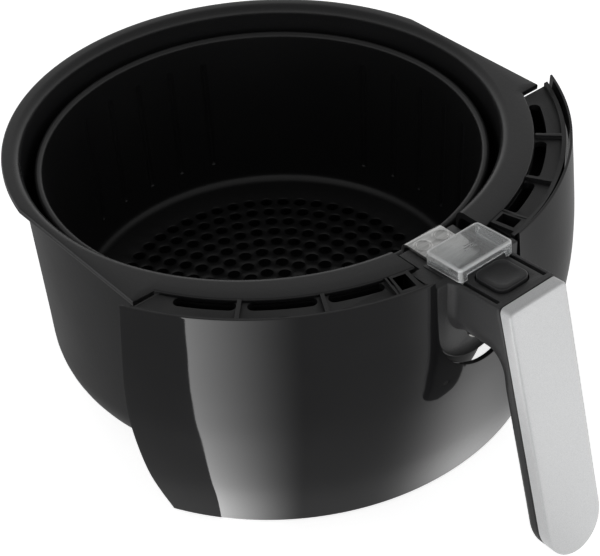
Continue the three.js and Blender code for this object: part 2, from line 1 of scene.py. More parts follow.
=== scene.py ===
"""Looks of an air fryer drawer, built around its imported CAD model.

Shapes are drawn in millimetres in the CAD frame: pan base on z = 0, handle along -Y.
"""

import json
import math

import bmesh
import bpy
from mathutils import Matrix, Vector

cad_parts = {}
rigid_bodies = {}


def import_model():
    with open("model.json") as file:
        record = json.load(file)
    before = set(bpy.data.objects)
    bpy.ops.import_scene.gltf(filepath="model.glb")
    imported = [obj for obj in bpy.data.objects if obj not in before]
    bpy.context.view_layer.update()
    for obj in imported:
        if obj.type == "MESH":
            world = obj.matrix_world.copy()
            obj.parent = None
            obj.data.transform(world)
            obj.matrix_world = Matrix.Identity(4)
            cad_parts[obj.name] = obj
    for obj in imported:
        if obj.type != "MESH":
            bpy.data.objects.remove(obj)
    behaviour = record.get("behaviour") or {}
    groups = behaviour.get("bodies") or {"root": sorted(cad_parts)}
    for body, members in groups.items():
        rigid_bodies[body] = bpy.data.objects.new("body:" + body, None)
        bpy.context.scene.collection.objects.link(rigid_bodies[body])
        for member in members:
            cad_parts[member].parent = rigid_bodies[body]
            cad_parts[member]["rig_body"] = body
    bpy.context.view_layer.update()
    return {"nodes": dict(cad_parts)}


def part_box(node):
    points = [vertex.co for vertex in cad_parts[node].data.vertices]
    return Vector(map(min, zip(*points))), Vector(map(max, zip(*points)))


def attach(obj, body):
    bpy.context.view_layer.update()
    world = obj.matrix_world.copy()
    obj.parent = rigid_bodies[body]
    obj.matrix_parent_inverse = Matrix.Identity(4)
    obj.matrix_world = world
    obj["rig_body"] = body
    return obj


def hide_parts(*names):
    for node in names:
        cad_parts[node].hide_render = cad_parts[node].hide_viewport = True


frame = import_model()
MM = 0.001


# ------------------------------------------------------------------ sizes read from the frame
def box_mm(node):
    """Lowest and highest corner of a CAD node, in millimetres."""
    return tuple(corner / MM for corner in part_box(node))


pan_high = box_mm("pan_shell")[1]
bowl_low, bowl_high = box_mm("basket_bowl")
fascia_low, fascia_high = box_mm("front_fascia")
carrier_low, carrier_high = box_mm("front_carrier")
bracket_low, bracket_high = box_mm("handle_bracket")
body_high = box_mm("handle_body")[1]
guard_high = box_mm("button_guard")[1]

RIM_Z = pan_high.z
RIM_R = pan_high.y
RIM_X = pan_high.x
RIM_WING_Y = -64.5
RIM_FRONT_R = 122.3
RIM_THICK = 3.0
LIP_R = 4.5
PAN_R = 112.5
PAN_BASE_R = 110.0
PAN_CORNER = 31.0
SHEET = 1.5
NOTCH_X = 20.0
NOTCH_Z = 114.0

FRONT_Y = -5.6
FRONT_END_Y = fascia_high.y
FASCIA_THICK = 2.2
FASCIA_PROFILE = [(128.6, fascia_low.z), (137.1, 32.6), (141.8, 63), (142.4, 85), (140.7, 110.3),
                  (139, fascia_high.z)]
MOUTH_X = 24.0
ROOT_R = 23.0
ROOT_Z = 103.0

CARRIER_IN_R = 120.0
CARRIER_OUT_R = 136.3
WALL = 2.0
SHELF_Z = 125.2
SHELF_THICK = 3.0
WEB_TOP_Z = 126.9
SLOT_R = 125.0
SLOT_HALF = 2.7
SLOT_ANGLES = [(18, 26.5), (31, 41.5), (46, 55.5)]
WEB_ANGLES = [15.8, 28.7, 44.2]
POCKET_ANGLES = (11.2, 15.8)

BOWL_R = 102.4
BOWL_FOOT_R = 100.8
BOWL_WALL = 1.2
BEAD_R = 2.0
BOWL_TOP_Z = bowl_high.z
FLOOR_Z = bowl_low.z + BOWL_WALL
FLOOR_CORNER = 5.0
HOLE_PITCH = 8.75
HOLE_R = 3.1
HOLE_RINGS = 9
RIB_FANS = (90, 0, 180)
RIB_STEPS = (-21, -10.5, 0, 10.5, 21)
RIB_TOP_Z = 102.5
RIB_LOW_Z = 39.5
RIB_HALF = 1.9
RIB_PRESS = 1.1

ARM_X = 16.0
TOP_TILT = math.radians(4.1)
TOP_Z = 126.6
ROOT_FACE_Y = -142.8
ARM_ROUND_Z = 112.0
GRIP_TOP_Y = -175.8
GRIP_TOP_Z = 129.0
GRIP_SLOPE = 0.262
GRIP_FOOT_Z = 23.1
COVER_DEPTH = 6.0
GRIP_DEPTH = 13.6
GRIP_EDGE_X = 5.0
GRIP_EDGE_DEPTH = 4.6
BEND_R = 11.5
GAP = 0.3
BUTTON_Y = -155.9
BUTTON_HALF = 8.7
BUTTON_CORNER = 4.5
BUTTON_TOP_Z = 128.4
GUIDE_X = 13.2
PLATE_Z = bracket_high.z
BRACKET_X = bracket_high.x
BRACKET_FRONT_Y = bracket_low.y
BRACKET_SCREW = (5.3, -115.5)

SCREW_ANGLES = (-50, -25, 25, 50)
CARRIER_SCREW_Z = 107.0
KEEPER_SCREW = (18.0, 106.0)
KEEPER_Y = -128.0
COVER_SCREW = (8.0, -148.5)
GRIP_SCREW_Z = {"upper": 74.0, "lower": 34.0}
SCREW_HEAD_R = 2.6
SCREW_HEAD = 1.8
SCREW_R = 1.3

ROOT_PLATE = 4.0
ROOT_BLOCK_X = 14.0
ROOT_BACK_Y = -129.8
ROOT_LOW_Z = 88.0
TONGUE_X = 15.5
TONGUE_BACK_Y = body_high.y
TONGUE_Z = 115.0
SHOULDER_X = 23.0
SHOULDER_Z = 125.0
SPLIT_Z = 101.0
SPLIT_FRONT_Y = -162.0
BAY_TOP_Z = 123.2
PIVOT_Y = -132.5
PIVOT_Z = 97.0
COVER_WALL = 2.0
GUARD_X = guard_high.x
GUARD_BACK_Y = -126.9
GUARD_FRONT_Y = -148.0
GUARD_TOP_Z = 133.4
GUARD_WALL = 1.6
GUARD_LOW_Z = TOP_Z + GAP
GUARD_MID_Y = (GUARD_BACK_Y + GUARD_FRONT_Y) / 2
GUARD_HALF_Y = (GUARD_BACK_Y - GUARD_FRONT_Y) / 2


# ------------------------------------------------------------------ mesh helpers
def mesh_object(name, points, faces):
    mesh = bpy.data.meshes.new(name)
    mesh.from_pydata([Vector(p) * MM for p in points], [], faces)
    mesh.validate()
    piece = bpy.data.objects.new(name, mesh)
    bpy.context.scene.collection.objects.link(piece)
    tidy(piece)
    return piece


def tidy(piece, weld=1e-7):
    """Welds doubled points and turns all faces outwards."""
    bm = bmesh.new()
    bm.from_mesh(piece.data)
    bmesh.ops.remove_doubles(bm, verts=bm.verts, dist=weld)
    bmesh.ops.recalc_face_normals(bm, faces=bm.faces)
    bm.to_mesh(piece.data)
    bm.free()


def grid(name, rows, close_rows=False, close_columns=False):
    """A surface through a list of rows of points. Rows and columns may close on themselves."""
    count = len(rows[0])
    points = [p for row in rows for p in row]
    faces = []
    for i in range(len(rows) if close_rows else len(rows) - 1):
        for j in range(count if close_columns else count - 1):
            a = i * count + j
            b = i * count + (j + 1) % count
            k = (i + 1) % len(rows)
            faces.append((a, b, k * count + (j + 1) % count, k * count + j))
    return mesh_object(name, points, faces)


def arc(x, y, r, a0, a1, steps):
    """Points along an arc about (x, y), between two angles in degrees."""
    out = []
    for i in range(steps + 1):
        a = math.radians(a0 + (a1 - a0) * i / steps)
        out.append((x + r * math.cos(a), y + r * math.sin(a)))
    return out


def rounded_rect(x, y, half_x, half_y, r, steps=8):
    return (arc(x + half_x - r, y - half_y + r, r, -90, 0, steps)
            + arc(x + half_x - r, y + half_y - r, r, 0, 90, steps)
            + arc(x - half_x + r, y + half_y - r, r, 90, 180, steps)
            + arc(x - half_x + r, y - half_y + r, r, 180, 270, steps))


def front_point(r, angle):
    """A point about the front axis, at an angle in degrees from straight ahead."""
    a = math.radians(angle)
    return (r * math.sin(a), FRONT_Y - r * math.cos(a))


def front_arc(r, a0, a1, steps):
    return [front_point(r, a0 + (a1 - a0) * i / steps) for i in range(steps + 1)]


def u_outline(half, centre_z, top_z, steps=32):
    return [(half, top_z), (-half, top_z)] + arc(0, centre_z, half, 180, 360, steps)


PLAN = Matrix.Identity(3)
SIDE = Matrix(((0, 0, 1), (1, 0, 0), (0, 1, 0)))      # outline in (y, z), depth along x
FRONT = Matrix(((1, 0, 0), (0, 0, 1), (0, 1, 0)))     # outline in (x, z), depth along y


def prism(name, outline, low, high, turn=PLAN):
    """A solid of one outline, between two depths."""
    count = len(outline)
    points = [turn @ Vector((x, y, d)) for d in (low, high) for x, y in outline]
    faces = [tuple(range(count)), tuple(range(count, 2 * count))]
    faces += [(i, (i + 1) % count, count + (i + 1) % count, count + i) for i in range(count)]
    return mesh_object(name, points, faces)


def block(name, x0, x1, y0, y1, z0, z1):
    return prism(name, [(x0, y0), (x1, y0), (x1, y1), (x0, y1)], z0, z1)


def rod(name, start, end, r, steps=24):
    a, b = Vector(start), Vector(end)
    turn = (b - a).to_track_quat("Z", "Y").to_matrix()
    outline = arc(0, 0, r, 0, 360 - 360 / steps, steps - 1)
    points = [a + turn @ Vector((x, y, 0)) for x, y in outline]
    points += [b + turn @ Vector((x, y, 0)) for x, y in outline]
    faces = [tuple(range(steps)), tuple(range(steps, 2 * steps))]
    faces += [(i, (i + 1) % steps, steps + (i + 1) % steps, steps + i) for i in range(steps)]
    return mesh_object(name, points, faces)


def turned(name, profile, centre, steps):
    """A solid turned about an upright axis through a point. The profile starts and ends on the axis."""
    rows = []
    for i in range(steps):
        a = 2 * math.pi * i / steps
        rows.append([(centre[0] + r * math.cos(a), centre[1] + r * math.sin(a), centre[2] + z)
                     for r, z in profile])
    return grid(name, rows, close_rows=True)


def apply_modifiers(piece):
    shown = piece.evaluated_get(bpy.context.evaluated_depsgraph_get())
    mesh = bpy.data.meshes.new_from_object(shown)
    piece.modifiers.clear()
    piece.data = mesh


def combine(piece, tools, operation):
    """Joins or cuts a piece with other solids, which are used up."""
    for tool in tools:
        modifier = piece.modifiers.new("combine", "BOOLEAN")
        modifier.operation = operation
        modifier.solver = "EXACT"
        modifier.object = tool
        apply_modifiers(piece)
        bpy.data.objects.remove(tool)
    return piece


def unite(piece, *tools):
    return combine(piece, tools, "UNION")


def cut(piece, *tools):
    return combine(piece, tools, "DIFFERENCE")


def trim(piece, *tools):
    return combine(piece, tools, "INTERSECT")


def soften(piece, width, segments=2, angle=35):
    """Rounds the edges that are sharper than an angle."""
    modifier = piece.modifiers.new("soften", "BEVEL")
    modifier.width = width * MM
    modifier.segments = segments
    modifier.limit_method = "ANGLE"
    modifier.angle_limit = math.radians(angle)
    modifier.miter_outer = "MITER_ARC"
    modifier.use_clamp_overlap = True
    apply_modifiers(piece)
    return piece


def smooth(piece, angle=32):
    for face in piece.data.polygons:
        face.use_smooth = True
    piece.data.set_sharp_from_angle(angle=math.radians(angle))


def tilt(piece):
    """Tips a piece that was drawn level onto the arm's sloping top."""
    pivot = Vector((0, ROOT_FACE_Y, TOP_Z)) * MM
    turn = Matrix.Translation(pivot) @ Matrix.Rotation(-TOP_TILT, 4, "X") @ Matrix.Translation(-pivot)
    piece.data.transform(turn)
    return piece


def place(piece, slot, material, *nodes, angle=32):
    """Finishes a piece, which stands for CAD nodes and rides on their body."""
    smooth(piece, angle)
    piece.data.materials.clear()
    piece.data.materials.append(material)
    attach(piece, frame["nodes"][nodes[0]]["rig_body"])
    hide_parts(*nodes)


# ------------------------------------------------------------------ pan
def rim_reach(angle):
    """Distance from the pan axis to the rim's outer edge, at an angle from +X in radians."""
    c, s = math.cos(angle), math.sin(angle)
    wing = RIM_X / max(abs(c), 1e-9)
    if wing * s > RIM_WING_Y:
        return min(wing, RIM_R) if s > 0 else wing
    along = FRONT_Y * s
    front = along + math.sqrt(along * along - FRONT_Y * FRONT_Y + RIM_FRONT_R * RIM_FRONT_R)
    return max(front, min(wing, RIM_WING_Y / s))


def rim_angles(steps):
    """Even angles round the pan, with one on each corner of the rim's outline."""
    front_x = math.sqrt(RIM_FRONT_R ** 2 - (RIM_WING_Y - FRONT_Y) ** 2)
    corners = [math.atan2(RIM_WING_Y, x) for x in (-RIM_X, -front_x, front_x, RIM_X)]
    tangent = math.acos(RIM_X / RIM_R)
    corners += [0.0, tangent, math.pi - tangent]
    even = [-math.pi + 2 * math.pi * i / steps for i in range(steps)]
    near = math.pi / steps
    return sorted(corners + [a for a in even if all(abs(a - c) > near for c in corners)])


def pan_wall(k, offset):
    """A point of the pan's slightly conical wall, counted down from under the rim."""
    return (PAN_R - offset - (PAN_R - PAN_BASE_R) * k / 8, RIM_Z - 8 - 10.4 * k)


def make_pan():
    lip_z = RIM_Z - LIP_R
    corner_r = PAN_BASE_R - PAN_CORNER
    under = RIM_Z - RIM_THICK
    edge = 0.9
    base = [(r, 0.0) for r in (1.0, 20.0, 45.0, 65.0)]
    outside = base + arc(corner_r, PAN_CORNER, PAN_CORNER, -90, 0, 14)
    outside += [pan_wall(k, 0) for k in range(7, -1, -1)]
    outside += arc(PAN_R + 3.0, RIM_Z - 6, 3.0, 180, 90, 4)
    inside = arc(PAN_R - SHEET + LIP_R, lip_z, LIP_R, 90, 180, 10)
    inside += [pan_wall(k, SHEET) for k in range(1, 9)]
    inside += arc(corner_r, PAN_CORNER, PAN_CORNER - SHEET, 0, -90, 14)[1:]
    inside += [(r, SHEET) for r, _ in reversed(base)]
    rows = []
    for angle in rim_angles(360):
        reach = rim_reach(angle)
        rim = [(reach - edge, under)]
        rim += arc(reach - edge, under + edge, edge, -90, 0, 3)[1:]
        rim += arc(reach - edge, RIM_Z - edge, edge, 0, 90, 4)
        flat = (PAN_R - SHEET + LIP_R + reach - edge) / 2
        rim += [(flat, RIM_Z)]
        profile = outside + rim + inside
        rows.append([(r * math.cos(angle), r * math.sin(angle), z) for r, z in profile])
    pan = grid("pan", rows, close_rows=True)
    fill_poles(pan)
    cut(pan, block("notch", -NOTCH_X, NOTCH_X, -150, -90, NOTCH_Z, 200))
    for angle in SCREW_ANGLES:
        boss = rod("boss", radial(angle, PAN_R - SHEET / 2, CARRIER_SCREW_Z),
                   radial(angle, front_reach(angle, CARRIER_IN_R) - GAP, CARRIER_SCREW_Z), 4.5, 32)
        unite(pan, boss)
    return pan


def radial(angle, r, z):
    """A point at a distance from the pan axis, in a direction given from straight ahead."""
    a = math.radians(angle)
    return (r * math.sin(a), -r * math.cos(a), z)


def front_reach(angle, r):
    """Distance from the pan axis to a circle about the front axis, in such a direction."""
    a = math.radians(angle)
    return -FRONT_Y * math.cos(a) + math.sqrt(r * r - (FRONT_Y * math.sin(a)) ** 2)


def fill_poles(piece):
    """Closes the small round holes that a turned profile leaves on its axis."""
    bm = bmesh.new()
    bm.from_mesh(piece.data)
    bmesh.ops.holes_fill(bm, edges=[e for e in bm.edges if e.is_boundary])
    bmesh.ops.recalc_face_normals(bm, faces=bm.faces)
    bm.to_mesh(piece.data)
    bm.free()


# ------------------------------------------------------------------ fascia
def catmull_rom(points, steps):
    """A smooth curve through points, sampled evenly from the first to the last."""
    out = []
    last = len(points) - 1
    for i in range(steps + 1):
        t = last * i / steps
        k = min(int(t), last - 1)
        w = t - k
        p = [points[max(0, min(last, k + d))] for d in (-1, 0, 1, 2)]
        out.append(tuple(0.5 * (
            2 * p[1][c] + (p[2][c] - p[0][c]) * w
            + (2 * p[0][c] - 5 * p[1][c] + 4 * p[2][c] - p[3][c]) * w ** 2
            + (3 * p[1][c] - p[0][c] - 3 * p[2][c] + p[3][c]) * w ** 3) for c in (0, 1)))
    return out


def fascia_thick(z):
    """The skin thins to a slim edge at the top."""
    return FASCIA_THICK - 1.1 * min(1.0, max(0.0, 1 - (fascia_high.z - z) / 7))


def make_fascia():
    outer = catmull_rom(FASCIA_PROFILE, 72)
    inner = [(r - fascia_thick(z), z) for r, z in reversed(outer)]
    depth = FRONT_Y - FRONT_END_Y
    rows = []
    for i in range(241):
        u = -1 + i / 120
        row = []
        for r, z in outer + inner:
            a = u * math.acos(depth / r)
            row.append((r * math.sin(a), FRONT_Y - r * math.cos(a), z))
        rows.append(row)
    fascia = grid("fascia", rows, close_columns=True)
    fill_poles(fascia)
    fascia = cut(fascia, prism("mouth", u_outline(MOUTH_X, ROOT_Z, 200, 48), -200, -120, FRONT))
    soften(fascia, 0.45, 3, 40)
    return fascia


# ------------------------------------------------------------------ carrier
def sector(name, r0, r1, a0, a1, z0, z1, steps):
    return prism(name, front_arc(r0, a0, a1, steps) + front_arc(r1, a1, a0, steps), z0, z1)


def slot_cutter(a0, a1):
    """A slot along a circle about the front axis, with round ends."""
    def end(angle, turn):
        x, y = front_point(SLOT_R, angle)
        return arc(x, y, SLOT_HALF, angle + turn, angle + turn + 180, 12)
    outline = front_arc(SLOT_R + SLOT_HALF, a0, a1, 14)[1:-1] + end(a1, -90)
    outline += front_arc(SLOT_R - SLOT_HALF, a1, a0, 14)[1:-1] + end(a0, 90)
    return prism("slot", outline, SHELF_Z - 12, SHELF_Z + 12)


def both_sides(a0, a1):
    return [(a0, a1), (-a1, -a0)]


def make_carrier():
    inner = CARRIER_IN_R + WALL
    outer = CARRIER_OUT_R - WALL
    mid_in = CARRIER_IN_R + 0.6
    mid_out = CARRIER_OUT_R - 0.6
    low = carrier_low.z
    rim_gap = RIM_Z - RIM_THICK - GAP
    end = math.degrees(math.acos((FRONT_Y - FRONT_END_Y) / CARRIER_OUT_R))
    frame_piece = unite(
        sector("carrier", CARRIER_IN_R, inner, -end, end, low, rim_gap, 160),
        sector("outer_wall", outer, CARRIER_OUT_R, -end, end, low, carrier_high.z, 160),
        sector("shelf", mid_in, mid_out, -end, end, SHELF_Z - SHELF_THICK, SHELF_Z, 160),
        sector("bottom", mid_in, mid_out, -end, end, low + 0.1, low + WALL, 160))
    for angle in [a * side for a in WEB_ANGLES for side in (1, -1)]:
        web = sector("web", inner - 0.5, outer + 0.5, angle - 0.4, angle + 0.4, SHELF_Z - 5, WEB_TOP_Z, 2)
        unite(frame_piece, web)
    for a0, a1 in both_sides(*POCKET_ANGLES):
        walls = sector("pocket", inner - 0.5, outer + 0.5, a0, a1, SHELF_Z - 11, WEB_TOP_Z, 6)
        unite(frame_piece, walls)
        cut(frame_piece, sector("well", inner + 2, outer - 1.5, a0 + 0.9, a1 - 0.9, SHELF_Z - 12, 200, 4))
    for angles in SLOT_ANGLES:
        for a0, a1 in both_sides(*angles):
            cut(frame_piece, slot_cutter(a0, a1))
    for side in (-1, 1):
        a0, a1 = sorted((side * 50, side * 75))
        wall = sector("end_wall", CARRIER_IN_R + 0.3, CARRIER_OUT_R - 0.3, a0, a1, low + 0.2,
                      rim_gap - 0.2, 40)
        unite(frame_piece, trim(wall, block("end", -200, 200, FRONT_END_Y - WALL, FRONT_END_Y + 5, 0, 200)))
    cut(frame_piece,
        block("behind", -200, 200, FRONT_END_Y, 20, 0, 300),
        block("bay", -MOUTH_X, MOUTH_X, -200, -127.7, 0, 300),
        block("bay_top", -MOUTH_X, MOUTH_X, -200, -100, NOTCH_Z, 300),
        sector("under_rim", 100, RIM_FRONT_R + GAP, -85, 85, rim_gap + 0.01, 300, 170))
    return soften(frame_piece, 0.25, 2, 40)


# ------------------------------------------------------------------ basket
def rib_press(angle, z):
    """How far the wall is pressed outwards at a place, by the upright ribs."""
    half = math.degrees(RIB_HALF / BOWL_R)
    for fan in RIB_FANS:
        for step in RIB_STEPS:
            away = abs((angle - fan - step + 180) % 360 - 180) / half
            if away < 1:
                rise = min(1.0, max(0.0, (RIB_TOP_Z - z) / 3), max(0.0, (z - RIB_LOW_Z) / 2.2))
                return RIB_PRESS * math.cos(away * math.pi / 2) ** 1.4 * math.sqrt(max(0.0, rise))
    return 0.0


def bowl_angles():
    """Angles round the basket, close together over each rib."""
    half = math.degrees(RIB_HALF / BOWL_R)
    angles = {round(i * 2.0, 3) for i in range(180)}
    for fan in RIB_FANS:
        for step in RIB_STEPS:
            for k in range(-8, 9):
                angles.add(round((fan + step + half * k / 8) % 360, 3))
    return sorted(angles)


def make_bowl():
    bead_z = BOWL_TOP_Z - BEAD_R
    foot_z = FLOOR_Z + FLOOR_CORNER
    corner_r = BOWL_FOOT_R - FLOOR_CORNER
    heights = [foot_z + (bead_z - 1 - foot_z) * i / 60 for i in range(1, 61)]
    heights = sorted(heights + [RIB_LOW_Z + k * 0.4 for k in range(7)] + [RIB_TOP_Z - k for k in range(4)])
    slope = (BOWL_R - BOWL_FOOT_R) / (bead_z - foot_z)
    rows = []
    for angle in bowl_angles():
        wall = [(BOWL_FOOT_R + slope * (z - foot_z) + rib_press(angle, z), z) for z in heights]
        outside = arc(corner_r, foot_z, FLOOR_CORNER + BOWL_WALL, -90, 0, 8)
        outside += [(r + BOWL_WALL, z) for r, z in wall[:-2]]
        bead = arc(BOWL_R + BEAD_R, bead_z, BEAD_R, -50, 180, 16)
        inside = list(reversed(wall))[1:] + arc(corner_r, foot_z, FLOOR_CORNER, 0, -90, 8)
        a = math.radians(angle)
        rows.append([(r * math.cos(a), r * math.sin(a), z) for r, z in outside + bead + inside])
    bowl = grid("basket", rows, close_rows=True)
    add_floor(bowl, corner_r)
    return bowl


def add_floor(bowl, edge_r):
    """Fills the ring between the wall and the holes, and lines each hole with a rounded, punched edge."""
    bm = bmesh.new()
    bm.from_mesh(bowl.data)
    centres = [(0.0, 0.0)]
    for ring in range(1, HOLE_RINGS + 1):
        count = 6 * ring
        centres += [arc(0, 0, ring * HOLE_PITCH, 0, 360, count)[k] for k in range(count)]
    steps = 20
    top_loops, low_loops = [], []
    for x, y in centres:
        rings = []
        for r, z in ((HOLE_R + 0.35, FLOOR_Z), (HOLE_R + 0.1, FLOOR_Z - 0.12), (HOLE_R, FLOOR_Z - 0.4),
                     (HOLE_R, FLOOR_Z - BOWL_WALL)):
            circle = arc(x, y, r, 0, 360, steps)[:-1]
            rings.append([bm.verts.new(Vector((px, py, z)) * MM) for px, py in circle])
        for upper, lower in zip(rings, rings[1:]):
            for k in range(steps):
                bm.faces.new((upper[k], upper[(k + 1) % steps], lower[(k + 1) % steps], lower[k]))
        top_loops.append(rings[0])
        low_loops.append(rings[-1])
    for loops, z in ((top_loops, FLOOR_Z), (low_loops, FLOOR_Z - BOWL_WALL)):
        edges = []
        for loop in loops:
            edges += [bm.edges.get((loop[k], loop[(k + 1) % steps])) for k in range(steps)]
        edges += [e for e in bm.edges if e.is_boundary and all(abs(v.co.z - z * MM) < 1e-6 for v in e.verts)
                  and e.verts[0].co.xy.length > (edge_r - 1) * MM]
        bmesh.ops.triangle_fill(bm, use_beauty=True, edges=edges, normal=(0, 0, 1))
    bmesh.ops.recalc_face_normals(bm, faces=bm.faces)
    bm.to_mesh(bowl.data)
    bm.free()


# ------------------------------------------------------------------ bracket
def make_bracket():
    leg_y, bend = bracket_high.y - 3.3, 4.0
    wall_y = bracket_high.y
    turn_y, turn_z = leg_y - bend, PLATE_Z - bend
    outline = [(wall_y, bracket_low.z), (wall_y, 101), (leg_y, 107)]
    outline += arc(turn_y, turn_z, bend, 0, 90, 12)
    outline += [(BRACKET_FRONT_Y, PLATE_Z), (BRACKET_FRONT_Y, PLATE_Z - SHEET)]
    outline += arc(turn_y, turn_z, bend - SHEET, 90, 0, 12)
    outline += [(leg_y - SHEET, 107.6), (wall_y - SHEET, 101.6), (wall_y - SHEET, bracket_low.z)]
    strap = prism("bracket", outline, -BRACKET_X, BRACKET_X, SIDE)
    x, y = BRACKET_SCREW
    for side in (-x, x):
        ring = [(0.0, -0.6), (4.35, -0.6), (4.25, -0.1), (3.7, 0.38), (3.1, 0.38), (2.5, -0.1), (0.0, -0.1)]
        unite(strap, turned("emboss", ring, (side, y, PLATE_Z), 32))
    return soften(strap, 0.2, 2, 40)


# ------------------------------------------------------------------ handle
def grip_y(z, depth):
    """Where the sloping grip is, at a height and a depth behind its front face."""
    return GRIP_TOP_Y - GRIP_SLOPE * (GRIP_TOP_Z - z) + depth


def top_z(y):
    """Height of the arm's tilted top."""
    return TOP_Z + math.tan(TOP_TILT) * (ROOT_FACE_Y - y)


def section(outer, inner, half, round_x, round_d):
    """A closed ring of points from an outer to an inner point: flat outside, rounded inside."""
    a, b = Vector((0, *outer)), Vector((0, *inner))
    depth = (b - a).length
    down = (b - a).normalized()
    edge = min(0.6, half * 0.4)
    round_x = min(round_x, half)
    round_d = min(round_d, depth - 2 * edge)
    ring = [(half - edge + edge * math.sin(t), edge - edge * math.cos(t)) for t in (0.0, 0.52, 1.05, 1.57)]
    straight = depth - round_d
    ring += [(half, edge + (straight - edge) * k / 4) for k in (1, 2, 3, 4)]
    for k in range(1, 13):
        t = math.pi / 2 * k / 12
        ring.append((half - round_x + round_x * math.cos(t), straight + round_d * math.sin(t)))
    left = [(-x, d) for x, d in reversed(ring)]
    return [a + Vector((x, 0, 0)) + down * d for x, d in ring + left]


def handle_loft(name):
    """The arm and the grip as one smooth solid: round underneath, with a concave bend into the grip."""
    arm_low = ARM_ROUND_Z - ARM_X
    bend = math.degrees(math.acos(GRIP_SLOPE / math.hypot(GRIP_SLOPE, 1)))
    reach = BEND_R * math.tan(math.radians(bend / 2))
    centre = Vector((grip_y(arm_low, GRIP_DEPTH) + reach, arm_low - BEND_R))
    seam = COVER_DEPTH + GAP
    corner_y = grip_y(GRIP_TOP_Z, seam)
    corner = Vector((corner_y, top_z(corner_y)))
    rows = []
    for k in range(13):
        y = ROOT_FACE_Y + 1 + (centre.x - ROOT_FACE_Y - 1) * (k / 13) ** 1.3
        flare = 1.8 * min(1.0, max(0.0, 1 - (ROOT_FACE_Y - y) / 4.5)) ** 2
        half = ARM_X + flare
        rows.append(section((y, top_z(y)), (y, arm_low - flare), half, half, half))
    corner_angle = math.degrees(math.atan2(corner.y - centre.y, corner.x - centre.x))
    angles = [90 + (corner_angle - 90) * k / 10 for k in range(10)]
    angles += [corner_angle + (90 + bend - corner_angle) * k / 16 for k in range(17)]
    for angle in angles:
        a = math.radians(angle)
        ray = Vector((math.cos(a), math.sin(a)))
        inner = centre + ray * BEND_R
        if angle <= corner_angle:
            reach_out = (top_z(centre.x) - centre.y) / (ray.y + math.tan(TOP_TILT) * ray.x)
        else:
            reach_out = (grip_y(centre.y, seam) - centre.x) / (ray.x - GRIP_SLOPE * ray.y)
        outer = centre + ray * reach_out
        f = (angle - 90) / bend
        f = f * f * (3 - 2 * f)
        round_x = ARM_X + (GRIP_EDGE_X - ARM_X) * f
        round_d = ARM_X + (GRIP_EDGE_DEPTH - ARM_X) * f
        rows.append(section(outer, inner, ARM_X, round_x, round_d))
    start_in = inner.y
    start_out = outer.y
    for k in range(1, 19):
        share = k / 18
        z_in = start_in + (GRIP_FOOT_Z - start_in) * share
        z_out = start_out + (GRIP_FOOT_Z - start_out) * share
        rows.append(section((grip_y(z_out, seam), z_out), (grip_y(z_in, GRIP_DEPTH), z_in), ARM_X,
                            GRIP_EDGE_X, GRIP_EDGE_DEPTH))
    for k in range(1, 25):
        t = math.radians(89 * k / 24)
        z = GRIP_FOOT_Z - ARM_X * math.sin(t)
        rows.append(section((grip_y(z, seam), z), (grip_y(z, GRIP_DEPTH), z), ARM_X * math.cos(t),
                            GRIP_EDGE_X, GRIP_EDGE_DEPTH))
    loft = grid(name, rows, close_columns=True)
    fill_poles(loft)
    return loft


def cover_region(name, margin):
    """The space of the arm's bottom cover, smaller than the gap that the body leaves for it."""
    return block(name, -60, 60, SPLIT_FRONT_Y + margin, ROOT_FACE_Y - GAP, 60, SPLIT_Z - margin)


def make_handle():
    body = handle_loft("handle")
    plate = prism("plate", u_outline(ROOT_R, ROOT_Z, TOP_Z, 64), ROOT_FACE_Y, ROOT_FACE_Y + ROOT_PLATE,
                  FRONT)
    root = block("root", -ROOT_BLOCK_X, ROOT_BLOCK_X, ROOT_FACE_Y + 1, ROOT_BACK_Y, ROOT_LOW_Z, TOP_Z)
    shoulders = block("shoulders", -SHOULDER_X, SHOULDER_X, ROOT_FACE_Y + 1, -127, SHOULDER_Z - 3.2,
                      SHOULDER_Z)
    cheeks = block("cheeks", -ARM_X, ARM_X, ROOT_FACE_Y - 1, -127, TONGUE_Z, TOP_Z)
    tongue = block("tongue", -TONGUE_X, TONGUE_X, -130, TONGUE_BACK_Y, TONGUE_Z, PLATE_Z - SHEET - GAP)
    soften(plate, 0.7, 3)
    unite(body, plate, root, shoulders, cheeks, tongue)
    bay = prism("bay", u_outline(ARM_X - 4, ARM_ROUND_Z, 120.5, 32), -166.3, -144.3, FRONT)
    hole_half = BUTTON_HALF + 0.45
    hole_outline = rounded_rect(0, BUTTON_Y, hole_half, hole_half, BUTTON_CORNER + 0.3)
    button_hole = tilt(prism("button_hole", hole_outline, BAY_TOP_Z - 6, TOP_Z + 5))
    grooves = [tilt(block("groove", x - 1, x + 1, -167, -120, TOP_Z - 1.8, TOP_Z + 5))
               for x in (-GUIDE_X, GUIDE_X)]
    cut(body,
        tilt(block("above", -60, 60, -260, -100, TOP_Z, TOP_Z + 40)),
        block("recess", -BRACKET_X - 0.8, BRACKET_X + 0.8, -140.5, -100, PLATE_Z - SHEET - GAP, 150),
        bay, button_hole, *grooves,
        block("lever_slot", -4.1, 4.1, -145, ROOT_BACK_Y + 5, PIVOT_Z - 5.5, 113.5),
        rod("pin_hole", (-10.3, PIVOT_Y, PIVOT_Z), (30, PIVOT_Y, PIVOT_Z), 1.8),
        block("cover_region", -60, 60, SPLIT_FRONT_Y, ROOT_FACE_Y - GAP, 60, SPLIT_Z))
    for z in GRIP_SCREW_Z.values():
        seat = (0, grip_y(z, GRIP_DEPTH - 2.4), z)
        cut(body, rod("bore", seat, (0, grip_y(z, 30), z), SCREW_HEAD_R + GAP))
    return soften(body, 0.3, 2, 50)


